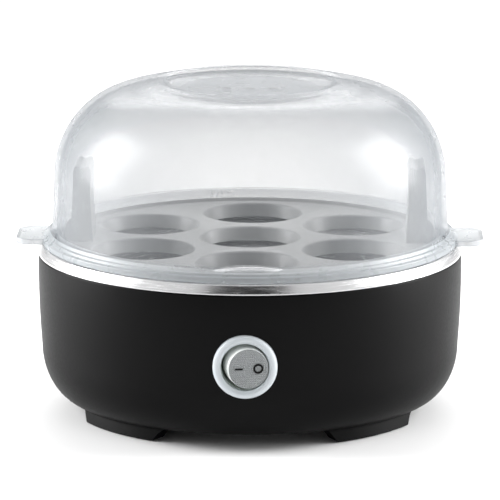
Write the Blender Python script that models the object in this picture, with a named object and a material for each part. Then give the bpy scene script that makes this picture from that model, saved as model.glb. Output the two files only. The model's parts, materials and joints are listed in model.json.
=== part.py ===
"""Egg cooker: a drum with a steel pan, a tray for seven eggs, a clear lid and a rocker switch.

Metres, +Z up, the front is -Y, the lid's ears point along X, the origin is on the floor
under the middle of the drum.
"""

import math

import bmesh
import bpy
from mathutils import Vector

MM = 0.001
GAP = 0.3  # clearance between touching pieces, mm
SHELL_STEPS = 48  # sides of the drum
STEPS = 40  # sides of the other large turned pieces
SMALL_STEPS = 20

# drum
DRUM_R = 82.5
DRUM_TOP_Z = 61.3
WALL = 2.5
ARCH_H = 5.8
ARCH_HALF_BOTTOM = 30.3  # degrees
ARCH_HALF_TOP = 25.7
FOOT_Z = 0.3
FOOT_R = 71.3
FOOT_INNER_R = 63.0
FOOT_ANGLES = (45, 135, 225, 315)
PAD_R = 3.3
PAD_PITCH_R = 67.2
LEDGE_R = 55.0
LEDGE_Z = (8.2, 11.2)
COVER_SCREW_R = 59.0
PAN_SCREW_R = 60.0
PAN_SCREW_ANGLES = (0, 120, 240)
POST_R = 4.4
POST_TOP_Z = 47.1

# pan
PAN_SHEET = 0.8
PAN_TOP_Z = 65.3
PAN_WALL_R = 77.4
PAN_LEDGE_Z = 59.4
PAN_FLOOR_Z = 49.8

# tray
TRAY_R = 73.9
TRAY_TOP_Z = 66.6
TRAY_PLATE = 1.8
WELL_R = 19.3
WELL_PITCH_R = 46.5
HANDLE_TOP_Z = 96.3
HANDLE_R = (61.4, 68.6)
HANDLE_HALF_W = 11.0

# lid
LID_WALL = 1.8
LID_WALL_R = 77.0
LID_WALL_TOP_R = 76.2
LID_WALL_TOP_Z = 90.5
LID_SHOULDER_R = 43.8
LID_SHOULDER_Z = 126.2
LID_CROWN_Z = 128.7
LID_DISH_R = 33.5
LID_DISH_Z = 125.4
LID_FLANGE_R = 80.8
LID_SKIRT_LOW_Z = 64.2
EAR_REACH = 90.8
EAR_HALF_W = 13.0
EAR_Z = (65.6, 68.0)
VENT_R = 1.7
VENT_SPACING = 9.0

# switch, distances out from its seat on the drum's front
SWITCH_Z = 34.4
SEAT_Y = -80.6
BEZEL_R = 12.1
BEZEL_OPENING_R = 9.0
ROCKER_R = 8.2
ROCKER_FACE_R = 7.5
ROCKER_FACE = 8.2  # out from the pivot
ROCKER_PIVOT = -3.0
ROCKER_TILT = 10.0  # degrees each way
LEVER_TILT = 5.0
LEVER_PIVOT = -10.5
HOUSING_R = 9.6
TERMINAL_END = -24.0

# cord gland
GLAND_Z = 30.0
GLAND_SEAT_Y = 80.2
GLAND_END_Y = 86.74  # as far behind as the rocker stands out in front
GLAND_R = 7.0
GLAND_NECK_R = 4.2

# heater
ELEMENT_R = 30.0
ELEMENT_TUBE_R = 3.2
ELEMENT_Z = 42.8
ELEMENT_TAIL_Z = 33.8
STRAP_Z = 38.0
STRAP_SHEET = 1.2
THERMOSTAT_Y = 15.0
BLADE_X = 5.0
BLADE_END_Z = 32.5
FUSE_PLACE = (0.0, -17.0, 43.0)
WIRE_R = 1.0
WIRE_GAP = 0.9


def material(name, colour, roughness, metallic=0.0, alpha=1.0):
    mat = bpy.data.materials.get(name) or bpy.data.materials.new(name)
    mat.use_nodes = True
    shader = mat.node_tree.nodes["Principled BSDF"]
    shader.inputs["Base Color"].default_value = (*colour, 1.0)
    shader.inputs["Roughness"].default_value = roughness
    shader.inputs["Metallic"].default_value = metallic
    shader.inputs["Alpha"].default_value = alpha
    return mat


def black_plastic():
    return material("black_plastic", (0.012, 0.012, 0.013), 0.42)


def clear_plastic():
    return material("clear_plastic", (0.86, 0.89, 0.92), 0.3, alpha=0.45)


def grey_plastic():
    return material("grey_plastic", (0.52, 0.52, 0.52), 0.4)


def pale_plastic():
    return material("pale_plastic", (0.78, 0.8, 0.79), 0.25)


def steel():
    return material("steel", (0.62, 0.62, 0.62), 0.3, 1.0)


def aluminium():
    return material("aluminium", (0.75, 0.75, 0.76), 0.45, 1.0)


def brass():
    return material("brass", (0.75, 0.6, 0.3), 0.35, 1.0)


def rubber():
    return material("rubber", (0.03, 0.03, 0.03), 0.85)


def finish(name, mesh, mat, smooth=True):
    mesh.materials.append(mat)
    if smooth:
        mesh.shade_smooth()
        mesh.set_sharp_from_angle(angle=math.radians(35))
    piece = bpy.data.objects.new(name, mesh)
    bpy.context.scene.collection.objects.link(piece)
    return piece


def to_mesh(name, bm):
    bmesh.ops.remove_doubles(bm, verts=bm.verts, dist=1e-7)
    bmesh.ops.recalc_face_normals(bm, faces=bm.faces)
    mesh = bpy.data.meshes.new(name)
    bm.to_mesh(mesh)
    bm.free()
    return mesh


def turned_mesh(name, outline, steps=STEPS, closed=True):
    """Spin an (r, z) outline in mm about Z; an open outline starts and ends on the axis."""
    bm = bmesh.new()
    verts = [bm.verts.new((r * MM, 0, z * MM)) for r, z in outline]
    edges = [bm.edges.new(pair) for pair in zip(verts, verts[1:])]
    if closed:
        edges.append(bm.edges.new((verts[-1], verts[0])))
    bmesh.ops.spin(bm, geom=verts + edges, axis=(0, 0, 1), cent=(0, 0, 0),
                   angle=2 * math.pi, steps=steps, use_merge=True)
    return to_mesh(name, bm)


def turned(name, outline, mat, steps=STEPS, closed=True):
    return finish(name, turned_mesh(name, outline, steps, closed), mat)


def extruded_mesh(name, outline, low, high):
    """Extrude an (x, y) outline in mm along Z."""
    bm = bmesh.new()
    verts = [bm.verts.new((x * MM, y * MM, low * MM)) for x, y in outline]
    face = bm.faces.new(verts)
    side = bmesh.ops.extrude_face_region(bm, geom=[face])["geom"]
    moved = [v for v in side if isinstance(v, bmesh.types.BMVert)]
    bmesh.ops.translate(bm, verts=moved, vec=(0, 0, (high - low) * MM))
    return to_mesh(name, bm)


def extruded(name, outline, low, high, mat, smooth=False):
    return finish(name, extruded_mesh(name, outline, low, high), mat, smooth)


def box(name, low, high, mat):
    outline = [(low[0], low[1]), (high[0], low[1]), (high[0], high[1]), (low[0], high[1])]
    return extruded(name, outline, low[2], high[2], mat)


def rounded_rect(half_x, half_y, radius, steps=4):
    corners = [(half_x, half_y, 0), (-half_x, half_y, 90), (-half_x, -half_y, 180), (half_x, -half_y, 270)]
    points = []
    for cx, cy, start in corners:
        mx = cx - math.copysign(radius, cx)
        my = cy - math.copysign(radius, cy)
        points += [(mx + radius * math.cos(math.radians(start + 90 * i / steps)),
                    my + radius * math.sin(math.radians(start + 90 * i / steps)))
                   for i in range(steps + 1)]
    return points


def arc(cx, cz, radius_x, radius_z, start, end, steps):
    """Points of an ellipse arc, angles in degrees."""
    angles = [math.radians(start + (end - start) * i / steps) for i in range(steps + 1)]
    return [(cx + radius_x * math.cos(a), cz + radius_z * math.sin(a)) for a in angles]


def put(piece, place, turn=(0, 0, 0)):
    piece.location = [c * MM for c in place]
    piece.rotation_euler = [math.radians(a) for a in turn]
    return piece


def combine(piece, tools, operation):
    """Apply one Boolean for each tool, then drop the tool."""
    for tool in tools:
        step = piece.modifiers.new(operation.title(), "BOOLEAN")
        step.operation = operation
        step.object = tool
        bpy.context.view_layer.update()
        depsgraph = bpy.context.evaluated_depsgraph_get()
        result = bpy.data.meshes.new_from_object(piece.evaluated_get(depsgraph))
        piece.modifiers.clear()
        weld(result)
        piece.data = result
        bpy.data.objects.remove(tool)
    return piece


def weld(mesh):
    """Close the hairline seams that a Boolean can leave."""
    bm = bmesh.new()
    bm.from_mesh(mesh)
    bmesh.ops.remove_doubles(bm, verts=bm.verts, dist=2e-6)
    bmesh.ops.dissolve_degenerate(bm, edges=bm.edges, dist=1e-6)
    bm.to_mesh(mesh)
    bm.free()


def cut(piece, tools):
    return combine(piece, tools, "DIFFERENCE")


def join(piece, tools):
    return combine(piece, tools, "UNION")


def rod(radius, low, high, steps=SMALL_STEPS):
    """A plain cylinder along Z, used as a tool."""
    return turned("tool", [(0, high), (radius, high), (radius, low), (0, low)], steel(), steps, False)


def tool_box(low, high):
    return box("tool", low, high, steel())


def around(radius, degrees, z=0.0):
    angle = math.radians(degrees)
    return radius * math.cos(angle), radius * math.sin(angle), z


# ---------------------------------------------------------------- drum and bottom

def drum_outline():
    """Outer wall from the top edge down a soft bowl to the feet, then back up inside."""
    outer = [(DRUM_R, DRUM_TOP_Z), (DRUM_R, 51.0), (82.3, 41.0), (81.9, 33.0)]
    bowl_top, bowl_bottom = (81.4, 25.4), (71.6, 5.6)
    for i in range(7):
        t = math.radians(90 * i / 6.5)
        r = bowl_bottom[0] + (bowl_top[0] - bowl_bottom[0]) * math.cos(t) ** (2 / 1.5)
        z = bowl_top[1] - (bowl_top[1] - bowl_bottom[1]) * math.sin(t) ** (2 / 2.04)
        outer.append((r, z))
    outer += [(70.6, 4.9), (FOOT_R, FOOT_Z)]
    inner = [(FOOT_INNER_R, FOOT_Z), (FOOT_INNER_R, LEDGE_Z[0]), (LEDGE_R, LEDGE_Z[0]),
             (LEDGE_R, LEDGE_Z[1]), (73.2, LEDGE_Z[1]), (76.8, 16.5), (78.9, 25.4),
             (DRUM_R - WALL, 41.0), (DRUM_R - WALL, DRUM_TOP_Z)]
    return outer + inner


def arch_tool(degrees):
    """Wedge that opens the drum's lower edge between two feet."""
    low_x = math.tan(math.radians(ARCH_HALF_BOTTOM))
    high_x = math.tan(math.radians(ARCH_HALF_TOP))
    half = [(low_x, -1.0), (high_x + 0.02, ARCH_H - 1.2), (high_x, ARCH_H - 0.4),
            (high_x - 0.02, ARCH_H)]
    outline = half + [(-x, z) for x, z in reversed(half)]
    bm = bmesh.new()
    rings = [[bm.verts.new((x * y * MM, -y * MM, z * MM)) for x, z in outline] for y in (95.0, 50.0)]
    for ring in rings:
        bm.faces.new(ring)
    for i in range(len(outline)):
        j = (i + 1) % len(outline)
        bm.faces.new((rings[0][i], rings[0][j], rings[1][j], rings[1][i]))
    tool = finish("tool", to_mesh("tool", bm), steel(), False)
    return put(tool, (0, 0, 0), (0, 0, degrees))


def base_shell():
    shell = turned("base_shell", drum_outline(), black_plastic(), SHELL_STEPS)
    posts = [put(rod(POST_R, LEDGE_Z[1] - 1, POST_TOP_Z, 16), around(PAN_SCREW_R, a))
             for a in PAN_SCREW_ANGLES]
    join(shell, posts)
    cutters = [arch_tool(a) for a in (0, 90, 180, 270)]
    for a in FOOT_ANGLES:
        cutters.append(put(rod(PAD_R + GAP, 0, 1.6), around(PAD_PITCH_R, a)))
        cutters.append(put(rod(1.5, 5, 15, 12), around(COVER_SCREW_R, a)))
    for a in PAN_SCREW_ANGLES:
        cutters.append(put(rod(1.75, 30, 50, 12), around(PAN_SCREW_R, a)))
        cutters.append(put(rod(2.8, 7, 38.0, 16), around(PAN_SCREW_R, a)))
    cutters.append(put(rod(BEZEL_R + GAP, 0, 9), (0, SEAT_Y, SWITCH_Z), (90, 0, 0)))
    cutters.append(put(rod(HOUSING_R + GAP, -9, 9), (0, SEAT_Y, SWITCH_Z), (90, 0, 0)))
    cutters.append(put(rod(GLAND_R + GAP, 0, 9), (0, GLAND_SEAT_Y, GLAND_Z), (-90, 0, 0)))
    cutters.append(put(rod(GLAND_NECK_R + GAP, -9, 9), (0, GLAND_SEAT_Y, GLAND_Z), (-90, 0, 0)))
    return cut(shell, cutters)


def bottom_cover():
    outline = [(0, 7.9), (FOOT_INNER_R - GAP, 7.9), (FOOT_INNER_R - GAP, 6.3),
               (FOOT_INNER_R - 1.2, 5.6), (0, 5.6)]
    cover = turned("bottom_cover", outline, black_plastic(), closed=False)
    holes = [put(rod(1.6, 4, 9, 12), around(COVER_SCREW_R, a)) for a in FOOT_ANGLES]
    holes += [put(tool_box((-12, y - 1, 4), (12, y + 1, 9)), (0, 0, 0)) for y in (-24, -18, -12)]
    return cut(cover, holes)


def foot_pads():
    outline = [(0, 1.3), (PAD_R, 1.3), (PAD_R, 0.3), (PAD_R - 0.3, 0.0), (0, 0.0)]
    mesh = turned_mesh("foot_pad", outline, SMALL_STEPS, False)
    for n, a in enumerate(FOOT_ANGLES, 1):
        put(finish(f"foot_pad_{n}", mesh.copy(), rubber()), around(PAD_PITCH_R, a))


def screw_mesh(head_r, head_h, shank_r, length):
    """Pan-head screw standing on its head, with the head's face at zero."""
    outline = [(0, 0), (head_r * 0.7, 0), (head_r, head_h * 0.5), (head_r, head_h),
               (shank_r, head_h), (shank_r, length - shank_r), (0, length)]
    return turned_mesh("screw", outline[::-1], 12, False)


def screws(name, count_angles, radius, low, mesh):
    for n, a in enumerate(count_angles, 1):
        put(finish(f"{name}_{n}", mesh.copy(), steel()), around(radius, a, low))


# ---------------------------------------------------------------- pan and heater

def heating_pan():
    """One pressed sheet: the water dish, a ledge, the inner wall and the bright rim band."""
    floor = PAN_FLOOR_Z
    outer_wall_r = PAN_WALL_R + PAN_SHEET
    top = [(0, floor - 0.4), (65.0, floor), (67.4, floor + 0.8), (69.6, PAN_LEDGE_Z - 0.6), (71.0, PAN_LEDGE_Z),
           (PAN_WALL_R, PAN_LEDGE_Z), (PAN_WALL_R, PAN_TOP_Z - 0.8), (78.2, PAN_TOP_Z), (80.4, PAN_TOP_Z),
           (81.1, PAN_TOP_Z - 0.5), (DRUM_R, DRUM_TOP_Z + GAP)]
    under = [(DRUM_R - PAN_SHEET, DRUM_TOP_Z + GAP), (80.3, PAN_TOP_Z - PAN_SHEET),
             (outer_wall_r, PAN_TOP_Z - PAN_SHEET), (outer_wall_r, PAN_LEDGE_Z - PAN_SHEET),
             (71.4, PAN_LEDGE_Z - PAN_SHEET), (70.4, PAN_LEDGE_Z - 1.2), (68.2, floor + 0.4),
             (65.2, floor - PAN_SHEET), (0, floor - 0.4 - PAN_SHEET)]
    turned("heating_pan", top + under, steel(), closed=False)


def pan_gasket():
    low = DRUM_TOP_Z + GAP
    turned("pan_gasket", [(79.0, low), (81.0, low), (80.3, low + 1.8), (79.0, low + 1.8)], rubber())


def pan_fixings():
    """Tabs under the pan, and the screws that pull them down on the drum's posts."""
    for n, a in enumerate(PAN_SCREW_ANGLES, 1):
        outline = [(x + 58.0, y) for x, y in rounded_rect(7.5, 4.5, 2.0, 2)]
        tab = extruded(f"pan_tab_{n}", outline, POST_TOP_Z + GAP, POST_TOP_Z + 1.5, steel())
        put(tab, (0, 0, 0), (0, 0, a))
        cut(tab, [put(rod(1.75, -5, 5, 12), (PAN_SCREW_R * math.cos(math.radians(a)),
                                             PAN_SCREW_R * math.sin(math.radians(a)), POST_TOP_Z))])
    low = 38.0 - GAP - 2.2
    screws("pan_screw", PAN_SCREW_ANGLES, PAN_SCREW_R, low, screw_mesh(2.5, 2.2, 1.4, 12.8))


def heater():
    turned("heat_spreader", [(0, 48.3), (40, 48.3), (40, 46.4), (0, 46.4)], aluminium(), closed=False)
    heating_element()
    arms = extruded("element_strap", rounded_rect(40, 6, 3, 2), STRAP_Z, STRAP_Z + STRAP_SHEET, steel())
    join(arms, [tool_box((-2.5, 0, STRAP_Z), (2.5, 23, STRAP_Z + STRAP_SHEET))])
    cut(arms, [rod(2.4, 30, 45, 12)])
    turned("centre_stud", [(0, 46.1), (2.0, 46.1), (2.0, 33.5), (1.4, 33.0), (0, 33.0)], steel(), 12, False)
    flats = [around(4.0, 60 * i)[:2] for i in range(6)]
    nut = extruded("stud_nut", flats, STRAP_Z - GAP - 3.2, STRAP_Z - GAP, steel())
    cut(nut, [rod(2.3, 30, 45, 12)])


def heating_element():
    """Open ring of sheathed tube whose two ends turn down."""
    points = []
    open_half = 25
    bend_r = 6.0
    sweep = range(0, 31)
    for i in sweep:
        a = 90 + open_half + (360 - 2 * open_half) * i / 30
        points.append(around(ELEMENT_R, a, ELEMENT_Z))
    for end, side in ((0, 1), (-1, -1)):
        a = math.radians(90 + side * open_half)
        tail = []
        for u in (30, 60, 90):
            run = bend_r * math.sin(math.radians(u))
            drop = bend_r * (1 - math.cos(math.radians(u)))
            x = ELEMENT_R * math.cos(a) + side * run * math.sin(a)
            y = ELEMENT_R * math.sin(a) - side * run * math.cos(a)
            tail.append((x, y, ELEMENT_Z - drop))
        tail.append((x, y, ELEMENT_TAIL_Z))
        points = tail[::-1] + points if end == 0 else points + tail
    tube("heating_element", points, ELEMENT_TUBE_R, 2, steel())


def tube(name, points, radius, resolution, mat):
    curve = bpy.data.curves.new(name, "CURVE")
    curve.dimensions = "3D"
    curve.bevel_depth = radius * MM
    curve.bevel_resolution = resolution
    curve.use_fill_caps = True
    spline = curve.splines.new("POLY")
    spline.points.add(len(points) - 1)
    for point, place in zip(spline.points, points):
        point.co = (*[c * MM for c in place], 1)
    curve.materials.append(mat)
    piece = bpy.data.objects.new(name, curve)
    bpy.context.scene.collection.objects.link(piece)
    return piece


def smooth_route(places, per_span=4):
    """Catmull-Rom curve through a few places."""
    p = [Vector(q) for q in places]
    p = [2 * p[0] - p[1]] + p + [2 * p[-1] - p[-2]]
    route = []
    for a, b, c, d in zip(p, p[1:], p[2:], p[3:]):
        for i in range(per_span):
            t = i / per_span
            route.append(0.5 * (2 * b + (c - a) * t + (2 * a - 5 * b + 4 * c - d) * t * t
                                + (3 * b - a - 3 * c + d) * t ** 3))
    return route + [p[-2]]


def thermostat():
    body = turned("thermostat", [(0, 46.1), (7.0, 46.1), (8.0, 45.4), (8.0, 43.0), (7.0, 42.6),
                                 (7.0, 39.6), (0, 39.6)], aluminium(), SMALL_STEPS, False)
    put(body, (0, THERMOSTAT_Y, 0))
    join(body, [tool_box((x - 0.4, THERMOSTAT_Y - 2.0, BLADE_END_Z), (x + 0.4, THERMOSTAT_Y + 2.0, 41))
                for x in (-BLADE_X, BLADE_X)])


def fuse():
    profile = [(0, -12), (0.5, -12), (0.5, -6.4), (1.8, -5.4), (1.8, 5.4), (0.5, 6.4), (0.5, 12), (0, 12)]
    body = turned("thermal_fuse", profile, aluminium(), 12, False)
    put(body, FUSE_PLACE, (0, 90, 0))
    sleeve = turned("fuse_sleeve", [(2.1, -7), (2.9, -7), (2.9, 7), (2.1, 7)], pale_plastic(), 12)
    put(sleeve, FUSE_PLACE, (0, 90, 0))


# ---------------------------------------------------------------- wiring

def terminal_block():
    block = box("terminal_block", (-11, 36, 8.2), (11, 47, 17), pale_plastic())
    places = [(x, 41.5, 17 + GAP + 1.5) for x in (-6, 6)]
    cut(block, [put(rod(1.4, -7, 2, 12), place) for place in places])
    mesh = screw_mesh(2.2, 1.5, 1.0, 5.0)
    for n, place in enumerate(places, 1):
        put(finish(f"terminal_screw_{n}", mesh.copy(), brass()), place, (180, 0, 0))


def wires():
    """Insulated wires, each from one terminal to the next."""
    blade_y = SEAT_Y - TERMINAL_END + WIRE_GAP
    tail_x = ELEMENT_R * math.sin(math.radians(25)) - 6.0 * math.cos(math.radians(25))
    tail_y = ELEMENT_R * math.cos(math.radians(25)) + 6.0 * math.sin(math.radians(25))
    tail = (tail_x, tail_y, ELEMENT_TAIL_Z - WIRE_GAP)
    blade_z = BLADE_END_Z - WIRE_GAP
    fuse_x = 12.0 + WIRE_GAP
    fuse_y, fuse_z = FUSE_PLACE[1:]
    live, blue, white = (0.02, 0.02, 0.02), (0.05, 0.1, 0.4), (0.75, 0.75, 0.72)
    routes = {
        "wire_live": (live, [(-6, 35.1, 12), (-10, 20, 13), (-14, -10, 16), (-10, -40, 26),
                             (-5, blade_y, SWITCH_Z)]),
        "wire_switched": (live, [(0, blade_y, SWITCH_Z), (2, -48, 28), (10, -30, 21), (16, -5, 21),
                                 (9, 9, 25), (BLADE_X, THERMOSTAT_Y, blade_z)]),
        "wire_fuse": (white, [(-BLADE_X, THERMOSTAT_Y, blade_z), (-9, 8, 27), (-17, -6, 28), (-20, -14, 36),
                              (-17, fuse_y, fuse_z - 1), (-fuse_x, fuse_y, fuse_z)]),
        "wire_element": (white, [(fuse_x, fuse_y, fuse_z), (17, fuse_y, fuse_z - 1), (20, -13, 36), (21, 2, 30),
                                 (15, 18, 27), (8.5, tail_y - 2, 28), tail]),
        "wire_neutral": (blue, [(6, 35.1, 12), (4, 31, 14), (-4, 28, 20), (-tail[0], tail[1], tail[2])]),
        "wire_lamp": (blue, [(0, 35.1, 12), (-1, 20, 10.5), (2, -10, 11), (7, -38, 18),
                             (5, blade_y, SWITCH_Z)]),
    }
    for name, (colour, places) in routes.items():
        mat = material(name, colour, 0.5)
        tube(name, smooth_route(places), WIRE_R, 1, mat)


def cord_gland():
    end = GLAND_END_Y - GLAND_SEAT_Y
    outline = [(1.9, -7), (GLAND_NECK_R, -7), (GLAND_NECK_R, GAP), (GLAND_R, GAP), (GLAND_R, 2.0),
               (5.6, 3.0), (4.6, end), (1.9, end)]
    put(turned("cord_gland", outline, rubber(), SMALL_STEPS), (0, GLAND_SEAT_Y, GLAND_Z), (-90, 0, 0))


# ---------------------------------------------------------------- switch

def facing_front(piece, out=0.0, across=0.0, up=0.0, tilt=0.0):
    """Turn a piece modelled along +Z to face the front, a distance out from the switch's seat."""
    return put(piece, (across, SEAT_Y - out, SWITCH_Z + up), (90, 0, tilt))


def switch_bezel():
    outline = [(BEZEL_OPENING_R, GAP), (BEZEL_R, GAP), (BEZEL_R, 2.2), (11.7, 3.0), (10.9, 3.5),
               (9.9, 3.4), (BEZEL_OPENING_R, 2.7)]
    facing_front(turned("switch_bezel", outline, pale_plastic(), 28))


def switch_housing():
    bore, skin, base = 8.9, HOUSING_R, -14.5
    outline = [(0, base), (bore, base), (bore, 0), (skin, 0), (skin, -2.6), (10.6, -2.6),
               (10.6, -3.8), (skin, -3.8), (skin, base - 1.5), (0, base - 1.5)]
    housing = facing_front(turned("switch_housing", outline, pale_plastic(), SMALL_STEPS, False))
    cut(housing, [put(rod(1.1, -12, 12, 12), (0, SEAT_Y - ROCKER_PIVOT, SWITCH_Z))])


def switch_rocker():
    """Round rocker on two axle stubs, its O side pressed in, with a boss for the spring."""
    face = ROCKER_FACE
    outline = [(0, face), (6.7, face - 0.1), (7.2, face - 0.3), (ROCKER_FACE_R, face - 0.7),
               (ROCKER_R, 1.0), (ROCKER_R, -1.6), (7.6, -2.0), (0, -2.0)]
    rocker = turned("switch_rocker", outline, grey_plastic(), 28, False)
    join(rocker, [put(rod(0.8, -9.3, 9.3, 12), (0, 0, 0), (90, 0, 0)), rod(0.8, -4.0, 0, 12)])
    facing_front(rocker, ROCKER_PIVOT, tilt=ROCKER_TILT)
    turns, radius = 4, 1.35
    coil = [(radius * math.cos(2 * math.pi * i / 10), radius * math.sin(2 * math.pi * i / 10),
             -2.5 - 3.4 * i / (10 * turns)) for i in range(10 * turns + 1)]
    facing_front(tube("plunger_spring", coil, 0.3, 1, steel()), ROCKER_PIVOT, tilt=ROCKER_TILT)


def switch_inside():
    lever = extruded("contact_lever", rounded_rect(5.0, 1.3, 0.8, 2), -0.25, 0.25, brass())
    facing_front(lever, LEVER_PIVOT, tilt=LEVER_TILT)
    lamp = turned("switch_lamp", [(0, 3.5), (0.9, 3.2), (1.4, 2.4), (1.4, -3.5), (0, -3.5)],
                  material("lamp_glass", (0.9, 0.5, 0.3), 0.1), 12, False)
    facing_front(lamp, -10.0, up=4.8)
    for n, x in enumerate((-5, 0, 5), 1):
        blade = box(f"switch_terminal_{n}", (-0.4, -2.4, TERMINAL_END), (0.4, 2.4, -16 - GAP), brass())
        facing_front(blade, across=x)


# ---------------------------------------------------------------- tray and lid

def handle_tool(turn):
    """Upright handle with a rounded foot towards the tray's rim and a notched top."""
    inner, outer = HANDLE_R
    top = HANDLE_TOP_Z
    low = TRAY_TOP_Z - TRAY_PLATE + 0.2
    foot = arc(outer, TRAY_TOP_Z + 0.6, 3.6, 8.4, 0, 80, 4)
    outline = [(inner - 0.5, low), (72.2, low), *foot, (outer + 0.1, TRAY_TOP_Z + 12), (outer - 0.7, top - 1.5),
               (outer - 1.2, top), (outer - 2.6, top), (outer - 3.4, top - 0.9), (inner + 2.8, top - 0.9),
               (inner + 2.0, top), (inner + 0.9, top), (inner + 0.2, top - 1.5), (inner + 0.4, 84.0)]
    tool = extruded("tool", outline, -HANDLE_HALF_W, HANDLE_HALF_W, steel())
    return put(tool, (0, 0, 0), (90, 0, turn))


def egg_tray():
    low = TRAY_TOP_Z - TRAY_PLATE
    skirt_low = PAN_LEDGE_Z + GAP
    outline = [(0, TRAY_TOP_Z), (72.2, TRAY_TOP_Z), (72.5, 67.5), (73.5, 67.5), (TRAY_R, 67.1),
               (TRAY_R, skirt_low), (72.3, skirt_low), (72.3, low), (0, low)]
    tray = turned("egg_tray", outline, grey_plastic(), closed=False)
    wells = [(0, 0, 0)] + [around(WELL_PITCH_R, 60 * i + 30) for i in range(6)]
    collar = [(0, low + 0.4), (WELL_R + 1.6, low + 0.4), (WELL_R - 0.2, low - 3.4), (0, low - 3.4)]
    join(tray, [put(turned("tool", collar, steel(), SMALL_STEPS, False), w) for w in wells]
         + [handle_tool(turn) for turn in (0, 180)])
    hole = [(0, TRAY_TOP_Z + 1), (WELL_R + 0.4, TRAY_TOP_Z + 1), (WELL_R, TRAY_TOP_Z - 0.6),
            (WELL_R - 1.7, low - 5), (0, low - 5)]
    cut(tray, [put(turned("tool", hole, steel(), SMALL_STEPS, False), w) for w in wells])


def lid():
    shoulder_w = LID_WALL_TOP_R - LID_SHOULDER_R
    shoulder_h = LID_SHOULDER_Z - LID_WALL_TOP_Z
    t = LID_WALL
    dish, crown = LID_DISH_Z, LID_CROWN_Z
    outside = [(0, dish - 0.2), (28.0, dish + 0.1), (31.6, dish + 1.1), (LID_DISH_R, crown - 0.5), (35.6, crown),
               (39.5, crown - 0.9)]
    outside += arc(LID_SHOULDER_R, LID_WALL_TOP_Z, shoulder_w, shoulder_h, 90, 0, 6)
    outside += [(LID_WALL_R, 70.6), (78.2, 69.9), (78.5, 68.6), (80.2, 68.3), (LID_FLANGE_R, 67.6),
                (LID_FLANGE_R, 66.1), (80.4, PAN_TOP_Z + GAP), (76.6, PAN_TOP_Z + GAP)]
    inside = [(76.6, LID_SKIRT_LOW_Z), (75.2, LID_SKIRT_LOW_Z), (75.2, 70.6)]
    inside += arc(LID_SHOULDER_R, LID_WALL_TOP_Z, shoulder_w - t, shoulder_h - t, 0, 90, 6)
    inside += [(39.3, crown - 0.9 - t), (35.6, crown - t - 0.3), (33.4, dish), (28.4, dish - t), (0, dish - t - 0.2)]
    dome = turned("lid", outside + inside, clear_plastic(), closed=False)
    ears = []
    for turn in (0, 180):
        corner = 6.0
        outline = [(77.8, -EAR_HALF_W)]
        outline += arc(EAR_REACH - corner, -EAR_HALF_W + corner, corner, corner, -90, 0, 4)
        outline += arc(EAR_REACH - corner, EAR_HALF_W - corner, corner, corner, 0, 90, 4)
        outline += [(77.8, EAR_HALF_W)]
        ears.append(put(extruded("tool", outline, *EAR_Z, steel()), (0, 0, 0), (0, 0, turn)))
    join(dome, ears)
    cut(dome, [put(rod(VENT_R, dish - 6, dish + 6, 12), (x * VENT_SPACING, 0, 0)) for x in (-1, 0, 1)])


def main():
    for old in list(bpy.data.objects):
        bpy.data.objects.remove(old)
    base_shell()
    bottom_cover()
    foot_pads()
    screws("cover_screw", FOOT_ANGLES, COVER_SCREW_R, 5.6 - GAP - 1.6, screw_mesh(2.6, 1.6, 1.2, 6.6))
    heating_pan()
    pan_gasket()
    pan_fixings()
    heater()
    thermostat()
    fuse()
    terminal_block()
    wires()
    cord_gland()
    switch_bezel()
    switch_housing()
    switch_rocker()
    switch_inside()
    egg_tray()
    lid()


main()
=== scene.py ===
import json
import math

import bpy
from mathutils import Matrix, Vector


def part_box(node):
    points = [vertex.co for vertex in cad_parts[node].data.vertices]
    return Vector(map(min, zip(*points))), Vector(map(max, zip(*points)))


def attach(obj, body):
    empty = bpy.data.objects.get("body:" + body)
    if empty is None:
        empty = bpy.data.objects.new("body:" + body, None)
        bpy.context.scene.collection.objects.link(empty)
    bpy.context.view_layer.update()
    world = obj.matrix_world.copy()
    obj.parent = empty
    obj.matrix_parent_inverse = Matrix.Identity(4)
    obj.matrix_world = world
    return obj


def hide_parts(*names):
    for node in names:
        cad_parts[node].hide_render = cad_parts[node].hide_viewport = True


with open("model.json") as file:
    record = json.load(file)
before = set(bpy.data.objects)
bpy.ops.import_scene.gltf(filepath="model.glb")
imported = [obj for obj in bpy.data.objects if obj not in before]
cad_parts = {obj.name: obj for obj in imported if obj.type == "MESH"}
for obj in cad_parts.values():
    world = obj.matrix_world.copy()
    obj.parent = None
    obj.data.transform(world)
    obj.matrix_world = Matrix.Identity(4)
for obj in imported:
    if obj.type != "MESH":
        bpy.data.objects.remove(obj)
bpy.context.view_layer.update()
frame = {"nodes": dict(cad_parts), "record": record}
nodes = frame["nodes"]
mm = 0.001
weldDistance = 2e-6


# helpers for modelling

def deselectAll():
    if bpy.context.object and bpy.context.object.mode == "EDIT":
        bpy.ops.object.mode_set(mode="OBJECT")
    bpy.ops.object.select_all(action="DESELECT")


def pick(piece):
    deselectAll()
    piece.select_set(True)
    bpy.context.view_layer.objects.active = piece


def newFromPrimitive(name, addPrimitive, **settings):
    deselectAll()
    addPrimitive(**settings)
    piece = bpy.context.object
    piece.name = name
    piece.data.name = name
    bpy.context.tool_settings.mesh_select_mode = (True, False, False)
    return piece


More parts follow.
